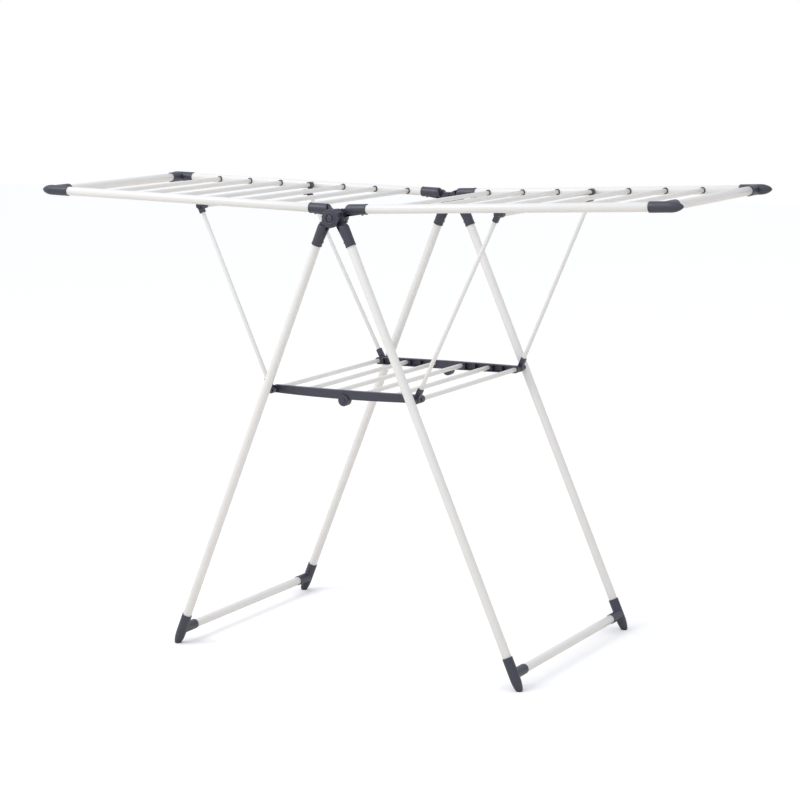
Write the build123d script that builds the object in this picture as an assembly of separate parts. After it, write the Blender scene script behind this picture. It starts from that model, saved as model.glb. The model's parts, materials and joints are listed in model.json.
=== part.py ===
from build123d import *
import math
import os

# Folding clothes drying rack: two hinged leg frames, two fold-down wings, four
# wing struts and a lower shelf that folds upwards at its middle.
# Millimetres. X is the length, Y the depth (front is -Y), Z is up, floor at Z = 0.

# ---------------------------------------------------------------- overall sizes
hub_height = 958.0          # height of the hinge axis above the floor
leg_lean = 23.0             # lean of each leg from upright, degrees
wing_tilt = 1.9             # rise of each wing above level, degrees
wing_reach = 768.0          # hub axis to the tip of a wing corner, along the wing
leg_plane = 269.0           # leg tube centre to the middle plane, along Y
axis_offset = 16.0          # tube centrelines pass this far outside the hub axis

# ---------------------------------------------------------------- tube and rod
tube_d = 19.0
tube_wall = 0.8
rod_d = 10.0
rod_wall = 0.6
strut_d = 8.8
strut_wall = 0.7

# ---------------------------------------------------------------- clearances
run_gap = 0.05              # radial clearance of a turning fit
side_gap = 0.35             # space between faces that pass each other
clip_gap = 0.15             # radial clearance of an open clip on its pin

# ---------------------------------------------------------------- hub
socket_d = tube_d + 3.0     # outside of every tube socket
socket_end = 69.0           # hub axis to the socket mouth
socket_start = 31.0         # where the full round of the socket begins
lug_end = 19.5              # where the flat lug ends and the socket grows out of it
lug_r = 17.0
tooth_r = 1.3
tooth_count = 18
bolt_d = 8.0
cap_d = 40.0
cap_t = 5.0
nut_d = 24.0
nut_t = 4.5
screw_at = 57.0             # hub axis to each socket screw
screw_d = 5.0

socket_r = socket_d / 2
lug_t = socket_d / 2 - side_gap / 2
wing_plane = leg_plane - socket_d - 0.5

# ---------------------------------------------------------------- wings
rods_per_wing = 7
first_rod = 103.7           # hub axis to the first wing rod
rod_pitch = 85.3
strut_rod = 3               # index of the rod that the strut pair hangs from
end_tube_at = wing_reach - 36.0
corner_d = 22.5
corner_start = wing_reach - 71.0
nose_start = wing_reach - 26.0
corner_side = 46.0          # reach of the corner's side sleeve, from the rail centre
bush_d = 14.0
bush_neck_d = 12.0
bush_proud = 1.8
wing_fold = 64.0            # degrees the wing folds down

# ---------------------------------------------------------------- feet
foot_top = 73.5             # floor to the top of the foot sleeve, along the leg
bar_up = 36.6               # floor to the bottom bar, along the leg
foot_side = 49.0            # reach of the foot's side sleeve, from the leg centre
toe_tip_r = 3.0
toe_length = 30.0
toe_cut = 2.5                # how much of the pointed toe is cut flat, along the leg

# ---------------------------------------------------------------- shelf
axle_height = 583.7
rods_per_half = 3
shelf_bar_h = 16.4
shelf_bar_belly = 2.2       # extra depth of the bar at the middle hinge
shelf_bar_t = 11.0
shelf_wall = 2.0
shelf_face = 230.0          # outer face of the bar at its ends
shelf_bow = 9.0             # how far the bar bows outwards at the middle
hinge_drop = 12.5           # middle hinge below the rods
hinge_r = 12.5
hinge_pin_d = 6.0
pin_d = 9.0                 # leg pin that carries a shelf bar end and a strut foot
boss_d = 14.0
boss_face = 251.0

# ---------------------------------------------------------------- struts
strut_y_low = 244.0
strut_y_high = 225.4
prop_drop = 15.0            # cross rod of a strut pair below the wing rod it hangs from
sleeve_d = 13.2
sleeve_in = 204.0           # inner end of the elbow sleeve on the cross rod
hanger_d = 14.6
hanger_in = 223.5           # inner end of the hanger ring on the wing rod
trunnion_d = 6.0
block_w = 11.5
block_reach = 27.0
elbow_reach = 16.0
elbow_floor = 7.0           # upper end of the strut tube, short of the cross rod
hook_w = 12.0
hook_r = 8.2
hanger_tab = 3.2
stow_angle = 4.0            # stowed strut hangs this far inside the wing, degrees

# ---------------------------------------------------------------- derived points
lean = math.radians(leg_lean)
tilt = math.radians(wing_tilt)
leg_len = (hub_height + axis_offset * math.sin(lean)) / math.cos(lean)
leg_turn = 90.0 - leg_lean


def on_leg(d, off=axis_offset):
    """XZ of a point d down the right leg, off outside the hub axis."""
    x = d * math.sin(lean) + off * math.cos(lean)
    z = hub_height - d * math.cos(lean) + off * math.sin(lean)
    return x, z


def on_wing(d, off=axis_offset):
    """XZ of a point d along the right wing, off above the hub axis."""
    x = d * math.cos(tilt) - off * math.sin(tilt)
    z = hub_height + d * math.sin(tilt) + off * math.cos(tilt)
    return x, z


axle_d = (hub_height - axle_height + axis_offset * math.sin(lean)) / math.cos(lean)
axle_x, axle_z = on_leg(axle_d)
bar_d = leg_len - bar_up
strut_rod_d = first_rod + strut_rod * rod_pitch
prop_off = axis_offset - prop_drop
prop_x, prop_z = on_wing(strut_rod_d, prop_off)
prop_len = math.hypot(prop_x - axle_x, prop_z - axle_z)
prop_dir = math.degrees(math.atan2(prop_z - axle_z, prop_x - axle_x))
strut_turn = 180.0 + wing_tilt - prop_dir - stow_angle
strut_ratio = strut_turn / wing_fold
hinge_z = axle_z - hinge_drop
rod_xs = [axle_x * (2 * k + 1) / (2 * rods_per_half - 1) for k in range(rods_per_half)]


# ---------------------------------------------------------------- helpers
def rod_y(d, y0, y1, x=0.0, z=0.0):
    """Solid cylinder of diameter d along Y between y0 and y1."""
    return Pos(x, (y0 + y1) / 2, z) * Rot(90, 0, 0) * Cylinder(d / 2, abs(y1 - y0))


def rod_x(d, x0, x1, y=0.0, z=0.0):
    """Solid cylinder of diameter d along X between x0 and x1."""
    return Pos((x0 + x1) / 2, y, z) * Rot(0, 90, 0) * Cylinder(d / 2, abs(x1 - x0))


def tube_x(d, wall, x0, x1, y=0.0, z=0.0):
    """Hollow tube along X."""
    return rod_x(d, x0, x1, y, z) - rod_x(d - 2 * wall, x0 - 1, x1 + 1, y, z)


def tube_y(d, wall, y0, y1, x=0.0, z=0.0):
    """Hollow tube along Y."""
    return rod_y(d, y0, y1, x, z) - rod_y(d - 2 * wall, y0 - 1, y1 + 1, x, z)


def spin_x(points):
    """Solid of revolution about X from (x, r) points."""
    outline = Polyline(*[(x, r) for x, r in points], close=True)
    return revolve(make_face(outline), axis=Axis.X)


def spin_y(points):
    """Solid of revolution about Y from (r, y) points."""
    outline = Polyline(*[(r, y) for r, y in points], close=True)
    return revolve(make_face(outline), axis=Axis.Y)


def plate_xz(points, y0, y1):
    """Extrude an XZ outline from y0 to y1."""
    low, high = min(y0, y1), max(y0, y1)
    plane = Plane(origin=(0, high, 0), x_dir=(1, 0, 0), z_dir=(0, -1, 0))
    face = plane * make_face(Polyline(*points, close=True))
    return extrude(face, amount=high - low)


def to_wing(shape):
    """Put a shape built along +X onto the right wing."""
    return Pos(0, 0, hub_height) * Rot(0, -wing_tilt, 0) * shape


def to_leg(shape):
    """Put a shape built along +X onto the right leg."""
    return Pos(0, 0, hub_height) * Rot(0, leg_turn, 0) * shape


def flip_x(shape):
    """Left-hand copy of a right-hand shape."""
    return mirror(shape, about=Plane.YZ)


def flip_y(shape):
    """Back copy of a front shape."""
    return mirror(shape, about=Plane.XZ)


nodes = {}


def four(name, front_right, front_left=None):
    """Store the front and back copies of a right-hand and a left-hand shape."""
    left = flip_x(front_right) if front_left is None else front_left
    nodes[name + "_front_right"] = front_right
    nodes[name + "_back_right"] = flip_y(front_right)
    nodes[name + "_front_left"] = left
    nodes[name + "_back_left"] = flip_y(left)


def two(name, right, left=None):
    """Store a right-hand shape and its left-hand twin."""
    nodes[name + "_right"] = right
    nodes[name + "_left"] = flip_x(right) if left is None else left


# ---------------------------------------------------------------- hub sockets
def hub_socket(plane_y, outer_layer):
    """Flat lug on the hub axis that grows into a blind round socket for a tube."""
    low = plane_y - lug_t - side_gap / 2 if outer_layer else plane_y + side_gap / 2
    high = low + lug_t
    mid = (low + high) / 2
    lug = rod_y(2 * lug_r, low, high)
    for k in range(tooth_count):
        a = 2 * math.pi * k / tooth_count
        lug += rod_y(2 * tooth_r, low, high, lug_r * math.cos(a), lug_r * math.sin(a))
    web_top = axis_offset
    web_low = 2.0
    lug += plate_xz([(0, -lug_r + 1), (4, -lug_r + 1), (lug_end, web_low),
                     (lug_end, web_top), (0, lug_r)], low, high)
    small = Plane(origin=(lug_end, mid, (web_top + web_low) / 2), z_dir=(1, 0, 0))
    large = Plane(origin=(socket_start, plane_y, axis_offset), z_dir=(1, 0, 0))
    neck = loft([small * RectangleRounded(lug_t, web_top - web_low, 2.0),
                 large * Circle(socket_r)])
    body = lug + neck + rod_x(socket_d, socket_start, socket_end, plane_y, axis_offset)
    body -= rod_x(tube_d, socket_start + 2, socket_end + 1, plane_y, axis_offset)
    body -= rod_y(bolt_d + 2 * run_gap, low - 1, high + 1)
    screw_hole = Pos(screw_at, plane_y, axis_offset - socket_r) * Cylinder(1.5, 8)
    return body - screw_hole


def socket_screw(plane_y):
    """Round-headed screw under the mouth of a hub socket."""
    seat = axis_offset - socket_r
    head = Pos(screw_at, plane_y, seat - 0.8) * Cylinder(screw_d / 2, 2.2)
    shank = Pos(screw_at, plane_y, seat + 0.2) * Cylinder(1.45, 2.2)
    screw = head + shank
    return screw - rod_x(socket_d, screw_at - 6, screw_at + 6, plane_y, axis_offset) + shank


leg_socket_right = hub_socket(-leg_plane, False)
leg_socket_left = hub_socket(-leg_plane, True)
wing_socket_right = hub_socket(-wing_plane, False)
wing_socket_left = hub_socket(-wing_plane, True)
four("leg_socket", to_leg(leg_socket_right), flip_x(to_leg(leg_socket_left)))
four("wing_socket", to_wing(wing_socket_right), flip_x(to_wing(wing_socket_left)))

screw_pair = to_leg(socket_screw(-leg_plane))
two("leg_screws", Compound(children=[screw_pair, flip_y(screw_pair)]))
screw_pair = to_wing(socket_screw(-wing_plane))
two("wing_screws", Compound(children=[screw_pair, flip_y(screw_pair)]))

# ---------------------------------------------------------------- pivot bolts
stack_out = leg_plane + socket_r
stack_in = wing_plane - socket_r
cap_out = stack_out + cap_t
bolt_profile = [
    (0, -cap_out - 0.8), (4.6, -cap_out - 0.8), (5.6, -cap_out + 0.2),
    (7.2, -cap_out + 1.4), (9.6, -cap_out + 1.4), (11.0, -cap_out),
    (15.4, -cap_out), (cap_d / 2, -cap_out + 1.8), (cap_d / 2, -stack_out - 0.1),
    (bolt_d / 2, -stack_out - 0.1), (bolt_d / 2, -stack_in + nut_t), (0, -stack_in + nut_t),
]
pivot_bolt = spin_y(bolt_profile)
for k in range(14):
    a = 2 * math.pi * k / 14
    pivot_bolt -= rod_y(2.0, -cap_out - 2, -stack_out + 1,
                        (cap_d / 2 + 0.5) * math.cos(a), (cap_d / 2 + 0.5) * math.sin(a))
pivot_nut = rod_y(nut_d, -stack_in + 0.1, -stack_in + nut_t)
pivot_nut -= rod_y(bolt_d, -stack_in - 1, -stack_in + nut_t + 1)
pivot_bolt = Pos(0, 0, hub_height) * pivot_bolt
pivot_nut = Pos(0, 0, hub_height) * pivot_nut
nodes["pivot_bolt_front"] = pivot_bolt
nodes["pivot_bolt_back"] = flip_y(pivot_bolt)
nodes["pivot_nuts"] = Compound(children=[pivot_nut, flip_y(pivot_nut)])

# ---------------------------------------------------------------- leg frames
leg_tube_end = leg_len - bar_up - socket_r - 2.5
leg_tube = tube_x(tube_d, tube_wall, socket_start + 2, leg_tube_end, -leg_plane, axis_offset)
four("leg_tube", to_leg(leg_tube))

bar_x, bar_z = on_leg(bar_d)
bar_half = leg_plane - socket_r - 1.0
two("bottom_bar", tube_y(tube_d, tube_wall, -bar_half, bar_half, bar_x, bar_z))


def foot():
    """Moulded foot: leg sleeve, side sleeve for the bottom bar and a bullet toe."""
    top = leg_len - foot_top
    toe = leg_len - toe_length
    tip = leg_len + toe_cut
    profile = [(top, 0), (top, socket_r)]
    profile += [(toe, socket_r)]
    steps = 8
    for k in range(1, steps + 1):
        t = k / steps
        r = toe_tip_r + (socket_r - toe_tip_r) * math.sqrt(1 - t * t)
        profile.append((toe + (tip - toe) * t, r))
    profile.append((tip, 0))
    body = Pos(0, -leg_plane, axis_offset) * spin_x(profile)
    body += rod_y(socket_d, -leg_plane, -leg_plane + foot_side, bar_d, axis_offset)
    body -= rod_x(tube_d, top - 1, leg_tube_end, -leg_plane, axis_offset)
    body -= rod_y(tube_d, -bar_half, 0, bar_d, axis_offset)
    placed = to_leg(body)
    floor_cut = Pos(bar_x, -leg_plane, -20) * Box(200, 200, 40)
    return placed - floor_cut


four("foot", foot())


def leg_pin(inner_y):
    """Boss on the leg tube with a pin for a strut foot and a shelf bar end."""
    boss = rod_y(boss_d, -leg_plane, -boss_face, axle_d, axis_offset)
    boss -= rod_x(tube_d, axle_d - 20, axle_d + 20, -leg_plane, axis_offset)
    pin = rod_y(pin_d, -boss_face, -inner_y, axle_d, axis_offset)
    placed = to_leg(boss + pin)
    return Compound(children=[placed, flip_y(placed)])


washer_face = shelf_face + 3.6
pin_bore_floor = shelf_face - 4.4
two("leg_pins", leg_pin(washer_face + side_gap), flip_x(leg_pin(pin_bore_floor + side_gap)))

# ---------------------------------------------------------------- wings
rail_end = end_tube_at - socket_r - 1.5
rail = tube_x(tube_d, tube_wall, socket_start + 2, rail_end, -wing_plane, axis_offset)
rod_tip = wing_plane - tube_d / 2 + tube_wall + 3.0
bush_in = wing_plane - tube_d / 2 - bush_proud
bush_out = wing_plane - tube_d / 2 + tube_wall + 1.4
wing_rods = []
wing_bushes = []
bush = rod_y(bush_d, -wing_plane, -bush_in)
bush -= rod_x(tube_d, -12, 12, -wing_plane, 0)
bush += rod_y(bush_neck_d, -bush_out, -bush_in)
bush -= rod_y(rod_d, -wing_plane - 1, 0)
for k in range(rods_per_wing):
    d = first_rod + k * rod_pitch
    rail -= rod_y(bush_neck_d, -wing_plane, 0, d, axis_offset)
    wing_rods.append(to_wing(tube_y(rod_d, rod_wall, -rod_tip, rod_tip, d, axis_offset)))
    placed = to_wing(Pos(d, 0, axis_offset) * bush)
    wing_bushes.append(placed)
    wing_bushes.append(flip_y(placed))
four("wing_rail", to_wing(rail))
two("wing_rods", Compound(children=wing_rods))
two("rod_bushes", Compound(children=wing_bushes))
end_half = wing_plane - socket_r - 0.5
two("wing_end_tube", to_wing(tube_y(tube_d, tube_wall, -end_half, end_half, end_tube_at, axis_offset)))


def corner():
    """Moulded wing corner: rail barrel with an ogive nose and a side sleeve."""
    profile = [(corner_start, 0), (corner_start, corner_d / 2), (nose_start, corner_d / 2)]
    steps = 9
    for k in range(1, steps):
        t = k / steps
        r = corner_d / 2 * (1 - t ** 1.9) ** 0.62
        profile.append((nose_start + (wing_reach - nose_start) * t, r))
    profile.append((wing_reach, 1.2))
    profile.append((wing_reach, 0))
    body = Pos(0, -wing_plane, axis_offset) * spin_x(profile)
    side_r = corner_d / 2 + 0.3
    side = [(0, -7.0), (6.0, -6.2), (8.8, -3.6), (10.5, 0.0), (side_r, 7.0)]
    side += [(side_r, corner_side), (0, corner_side)]
    side = [(r, y - wing_plane) for r, y in side]
    body += Pos(end_tube_at, 0, axis_offset) * spin_y(side)
    body -= rod_x(tube_d, corner_start - 1, rail_end, -wing_plane, axis_offset)
    body -= rod_y(tube_d, -end_half, 0, end_tube_at, axis_offset)
    return to_wing(body)


four("wing_corner", corner())

# ---------------------------------------------------------------- struts
low = Vector(axle_x, -strut_y_low, axle_z)
high = Vector(prop_x, -strut_y_high, prop_z)
span = high - low
strut_len = span.length
strut_plane = Plane(origin=low, z_dir=span.normalized(), x_dir=(0, 1, 0))


def along_strut(shape):
    """Put a shape built along +Z onto the front right strut."""
    return strut_plane * shape


def strut_piece(z0, z1, d):
    """Round length of the strut between two distances from the leg pin."""
    return along_strut(Pos(0, 0, (z0 + z1) / 2) * Cylinder(d / 2, z1 - z0))


def strut_block(z0, z1):
    """Square socket block of a strut end."""
    solid = Pos(0, 0, (z0 + z1) / 2) * Box(block_w, block_w, z1 - z0)
    solid = fillet(solid.edges().filter_by(Axis.Z), 2.0)
    return along_strut(solid)


grip = 16.0
strut_a = block_reach - grip
strut_b = strut_len - elbow_floor
strut_tube = strut_piece(strut_a, strut_b, strut_d)
strut_tube -= strut_piece(strut_a - 1, strut_b + 1, strut_d - 2 * strut_wall)
two("strut_tubes", Compound(children=[strut_tube, flip_y(strut_tube)]))

# Each elbow holds the tube and the cross rod, and turns in the hanger on a trunnion.
hanger_out = bush_in - side_gap
elbow_in = strut_y_high - block_w / 2
elbow_out = strut_y_high + block_w / 2
prop_half = elbow_in + 1.3
sleeve = rod_y(sleeve_d, -hanger_in + 0.7, -sleeve_in, prop_x, prop_z)
sleeve += strut_block(strut_len - elbow_reach, strut_len - 1.0)
sleeve += rod_y(block_w, -elbow_out, -elbow_in, prop_x, prop_z)
sleeve -= rod_y(18.0, -elbow_out - 6, -elbow_out, prop_x, prop_z)
sleeve += rod_y(trunnion_d, -hanger_out, -elbow_out + 1, prop_x, prop_z)
sleeve -= rod_y(rod_d, -prop_half, -sleeve_in + 1, prop_x, prop_z)
sleeve -= strut_piece(strut_a, strut_b, strut_d)
four("strut_sleeve", sleeve)
two("prop_rod", tube_y(rod_d, rod_wall, -prop_half, prop_half, prop_x, prop_z))

tab_y = -hanger_out + hanger_tab / 2
hanger = Pos(strut_rod_d, tab_y, axis_offset - prop_drop / 2) * Box(block_w - 0.5, hanger_tab, prop_drop)
hanger += rod_y(block_w - 0.5, -hanger_out, -hanger_out + hanger_tab, strut_rod_d, prop_off)
hanger += rod_y(hanger_d, -hanger_out, -hanger_in, strut_rod_d, axis_offset)
hanger -= rod_y(rod_d, -hanger_out - 1, -hanger_in + 1, strut_rod_d, axis_offset)
hanger -= rod_y(trunnion_d + 2 * run_gap, -hanger_out - 1, -hanger_out + hanger_tab + 1, strut_rod_d, prop_off)
hanger = to_wing(hanger)
two("rod_hangers", Compound(children=[hanger, flip_y(hanger)]))

# The clip leaves the leg pin sideways as the wing folds, so its mouth faces that way.
arm = math.radians(prop_dir + 180.0)
turn_rate = strut_ratio - 1.0
rod_move_x = (prop_z - hub_height)
rod_move_z = -prop_x
foot_move_x = rod_move_x - turn_rate * prop_len * math.sin(arm)
foot_move_z = rod_move_z + turn_rate * prop_len * math.cos(arm)
mouth = math.degrees(math.atan2(-foot_move_z, -foot_move_x))
hook_y0 = strut_y_low - hook_w / 2
hook_y1 = strut_y_low + hook_w / 2
hook = rod_y(2 * hook_r, -hook_y1, -hook_y0, axle_x, axle_z)
hook += strut_block(5.0, block_reach)
hook -= Pos(axle_x, -hook_y1 - 10, axle_z) * Box(60, 20, 90)
hook -= Pos(axle_x, -hook_y0 + 10, axle_z) * Box(20, 20, 20)
bore = pin_d + 2 * clip_gap
hook -= rod_y(bore, -hook_y1 - 1, -hook_y0 + 1, axle_x, axle_z)
slot = Pos(15, 0, 0) * Box(30, hook_w + 6, bore)
hook -= Pos(axle_x, -strut_y_low, axle_z) * Rot(0, -mouth, 0) * slot
hook -= strut_piece(strut_a, strut_b, strut_d)
hook_solids = sorted(hook.solids(), key=lambda s: s.volume)
hook = hook_solids[-1]
two("strut_hooks", Compound(children=[hook, flip_y(hook)]))

# ---------------------------------------------------------------- shelf
bar_top = shelf_bar_h / 2


def bow_at(x):
    """Outer face of the shelf bar at length x from the middle."""
    t = min(abs(x) / axle_x, 1.0)
    return shelf_face + shelf_bow * (1 - t * t)


def band(inner, outer, x0, x1):
    """Curved strip between two depths behind the bowed outer face."""
    steps = 14
    xs = [x0 + (x1 - x0) * k / steps for k in range(steps + 1)]
    pts = [(x, -bow_at(x) + outer) for x in xs]
    pts += [(x, -bow_at(x) + inner) for x in reversed(xs)]
    face = make_face(Polyline(*pts, close=True))
    return Pos(0, 0, axle_z - 60) * extrude(face, amount=120)


def bar_outline(inset, x0, x1):
    """Side outline of the right half bar, deeper towards the middle hinge."""
    steps = 10
    xs = [x0 + (x1 - x0) * k / steps for k in range(steps + 1)]
    top = [(x, axle_z + bar_top - inset) for x in xs]
    low_edge = []
    for x in reversed(xs):
        belly = shelf_bar_belly * (1 - (x / axle_x) ** 2)
        low_edge.append((x, axle_z - bar_top - belly + inset))
    return top + low_edge


def half_bar(is_left):
    """Right half of the front shelf bar, with the outer or the inner hinge knuckle."""
    mid_face = shelf_face + shelf_bow
    split = mid_face - shelf_bar_t / 2 + 0.5
    body = plate_xz(bar_outline(0, side_gap, axle_x), -260, -200)
    body = body & band(0, shelf_bar_t, 0, axle_x + 1)
    rib_xs = [24.0] + [rod_xs[0] + 9.0, (rod_xs[0] + rod_xs[1]) / 2, rod_xs[1] - 9.0]
    rib_xs += [rod_xs[1] + 9.0, (rod_xs[1] + rod_xs[2]) / 2, axle_x - 11.0]
    for k in range(len(rib_xs) - 1):
        a, b = rib_xs[k] + 1.0, rib_xs[k + 1] - 1.0
        if k == 0:
            b = rod_xs[0] - 8.0
        pocket = plate_xz(bar_outline(shelf_wall, a, b), -260, -200)
        if b - a > 4.0:
            body -= pocket & band(shelf_wall, shelf_bar_t + 1, a - 1, b + 1)
    end = rod_y(shelf_bar_h, -washer_face, -shelf_face + shelf_bar_t, axle_x, axle_z)
    body += end
    body -= rod_y(pin_d + 2 * run_gap, -washer_face - 1, -pin_bore_floor, axle_x, axle_z)
    for x in rod_xs:
        stop = min(bow_at(x), bow_at(x + 5), bow_at(x - 5)) - shelf_wall
        if x == rod_xs[-1]:
            stop = pin_bore_floor - 1.6
        body -= rod_y(rod_d, -stop, -150, x, axle_z)
    if is_left:
        own0, own1 = split + side_gap / 2, mid_face + 3.0
        other0, other1 = split - side_gap / 2 - 30, split + side_gap / 2
    else:
        own0, own1 = mid_face - shelf_bar_t, split - side_gap / 2
        other0, other1 = split - side_gap / 2, mid_face + 30
    knuckle = rod_y(2 * hinge_r, -own1, -own0, 0, hinge_z)
    body -= rod_y(2 * (hinge_r + side_gap), -other1, -other0, 0, hinge_z)
    if is_left:
        body -= rod_y(2 * (hinge_r + side_gap), -own1 - 1, -mid_face + 1.2, 0, hinge_z)
    body += knuckle
    body -= rod_y(hinge_pin_d + 2 * run_gap, -mid_face - 20, -mid_face + 20, 0, hinge_z)
    return body


bar_right = half_bar(False)
bar_left = half_bar(True)
four("shelf_bar", bar_right, flip_x(bar_left))

mid_face = shelf_face + shelf_bow
pin_out = mid_face + 3.0
pin_in = mid_face - shelf_bar_t
hinge_pin = rod_y(hinge_pin_d, -pin_out - 1.2, -pin_in + 1.5, 0, hinge_z)
hinge_pin += rod_y(hinge_pin_d + 3.5, -pin_out - 1.2, -pin_out - 0.05, 0, hinge_z)
hinge_pin += rod_y(hinge_pin_d + 4, -pin_in + 0.3, -pin_in + 1.8, 0, hinge_z)
nodes["shelf_hinge_pins"] = Compound(children=[hinge_pin, flip_y(hinge_pin)])

half_rods = []
for x in rod_xs:
    tip = min(bow_at(x), bow_at(x + 5), bow_at(x - 5)) - shelf_wall
    if x == rod_xs[-1]:
        tip = pin_bore_floor - 1.6
    half_rods.append(tube_y(rod_d, rod_wall, -tip, tip, x, axle_z))
two("shelf_rods", Compound(children=half_rods))

# ---------------------------------------------------------------- export
os.makedirs("parts", exist_ok=True)
for name, shape in nodes.items():
    export_step(shape, "parts/" + name + ".step")
print(len(nodes), "nodes")
print("axle", axle_x, axle_z, "prop rod", prop_x, prop_z, "strut", strut_len)
print("strut turn", strut_turn, "ratio", strut_ratio, "mouth", mouth)
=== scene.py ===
"""Visual model of a folding winged clothes drying rack.

White powder-coated steel tube and rod, joined by slate-grey moulded polypropylene
fittings. Every new surface is a grid of two parameters or a profile carried along a
path, worked out with numpy in millimetres and written to the mesh in metres.
"""

import json
import logging
import math
from dataclasses import dataclass
from enum import Enum
from typing import Any, Sequence

import bpy
import numpy as np
from mathutils import Matrix

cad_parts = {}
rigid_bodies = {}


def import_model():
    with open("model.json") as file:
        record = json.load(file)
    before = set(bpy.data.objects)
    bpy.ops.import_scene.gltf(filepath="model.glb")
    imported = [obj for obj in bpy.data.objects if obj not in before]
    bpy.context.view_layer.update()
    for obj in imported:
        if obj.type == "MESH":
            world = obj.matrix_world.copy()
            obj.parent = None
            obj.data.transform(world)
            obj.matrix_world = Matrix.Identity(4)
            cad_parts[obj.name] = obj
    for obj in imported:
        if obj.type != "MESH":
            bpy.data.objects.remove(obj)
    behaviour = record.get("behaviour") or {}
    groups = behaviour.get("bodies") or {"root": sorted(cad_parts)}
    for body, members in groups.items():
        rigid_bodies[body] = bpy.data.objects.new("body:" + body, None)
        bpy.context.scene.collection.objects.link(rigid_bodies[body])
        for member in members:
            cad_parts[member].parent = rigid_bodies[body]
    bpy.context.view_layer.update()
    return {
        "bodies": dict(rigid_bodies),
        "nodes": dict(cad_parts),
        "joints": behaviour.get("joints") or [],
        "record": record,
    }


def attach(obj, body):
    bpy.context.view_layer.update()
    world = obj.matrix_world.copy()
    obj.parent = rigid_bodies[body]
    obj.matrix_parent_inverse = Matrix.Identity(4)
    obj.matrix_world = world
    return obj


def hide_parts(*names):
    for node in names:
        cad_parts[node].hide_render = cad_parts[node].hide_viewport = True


LOG = logging.getLogger("drying_rack")
MM = 0.001


# --------------------------------------------------------------------------- sizes
class Side(Enum):
    """Left or right half of the rack, as the sign of X."""

    LEFT = -1
    RIGHT = 1

    @property
    def word(self) -> str:
        """Lower-case name used in node names."""
        return self.name.lower()


class End(Enum):
    """Front or back of the rack, as the sign of Y."""

    FRONT = -1
    BACK = 1

    @property
    def word(self) -> str:
        """Lower-case name used in node names."""
        return self.name.lower()


@dataclass(frozen=True)
class RackSizes:
    """Shared sizes in millimetres and degrees, the same as the solid model's.

    tube_start is where a leg or rail tube ends inside its hub socket, measured from the
    hub axis, and snug is the gap between a tube and the bore that holds it.
    """

    hub_height: float = 958.0
    leg_lean: float = 23.0
    wing_tilt: float = 1.9
    wing_reach: float = 768.0
    leg_plane: float = 269.0
    wing_plane: float = 246.5
    axis_offset: float = 16.0
    tube_r: float = 9.5
    rod_r: float = 5.0
    strut_r: float = 4.4
    socket_r: float = 11.0
    axle_height: float = 583.7
    first_rod: float = 103.7
    rod_pitch: float = 85.3
    rods_per_wing: int = 7
    strut_rod: int = 3
    prop_drop: float = 15.0
    tube_start: float = 33.0
    snug: float = 0.02

    @property
    def lean(self) -> float:
        """Lean of a leg from upright, in radians."""
        return math.radians(self.leg_lean)

    @property
    def tilt(self) -> float:
        """Rise of a wing above level, in radians."""
        return math.radians(self.wing_tilt)

    @property
    def leg_len(self) -> float:
        """Distance down the leg from the hub axis to the floor."""
        return (self.hub_height + self.axis_offset * math.sin(self.lean)) / math.cos(self.lean)

    @property
    def axle_d(self) -> float:
        """Distance down the leg from the hub axis to the shelf axle."""
        drop = self.hub_height - self.axle_height
        return (drop + self.axis_offset * math.sin(self.lean)) / math.cos(self.lean)


@dataclass(frozen=True)
class ArmFrame:
    """Axes of one arm of the hub: along the tube, across the rack and off the tube's plane."""

    side: Side
    end: End
    along: tuple[float, float]
    off: tuple[float, float]
    hub_height: float

    def place(self, pts: np.ndarray) -> np.ndarray:
        """Turn arm points into rack points.

        A point (d, y, n) goes to hub + d * along + n * off in XZ, with y measured out
        from the middle of the rack: the side mirrors X and the end mirrors Y.

        Args:
            pts: Array whose last axis is (d, y, n) in millimetres.

        Returns:
            Array of the same shape holding (x, y, z) in millimetres.
        """
        d, y, n = pts[..., 0], pts[..., 1], pts[..., 2]
        x = d * self.along[0] + n * self.off[0]
        z = self.hub_height + d * self.along[1] + n * self.off[1]
        return np.stack([x * self.side.value, y * self.end.value, z], axis=-1)


def leg_frame(sizes: RackSizes, side: Side, end: End) -> ArmFrame:
    """Arm axes of a leg.

    Args:
        sizes: Shared sizes.
        side: Left or right.
        end: Front or back.

    Returns:
        The frame, along pointing down the leg and off pointing outwards.
    """
    s, c = math.sin(sizes.lean), math.cos(sizes.lean)
    return ArmFrame(side, end, (s, -c), (c, s), sizes.hub_height)


def wing_frame(sizes: RackSizes, side: Side, end: End) -> ArmFrame:
    """Arm axes of a wing.

    Args:
        sizes: Shared sizes.
        side: Left or right.
        end: Front or back.

    Returns:
        The frame, along pointing out along the wing and off pointing up.
    """
    s, c = math.sin(sizes.tilt), math.cos(sizes.tilt)
    return ArmFrame(side, end, (c, s), (-s, c), sizes.hub_height)


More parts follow.
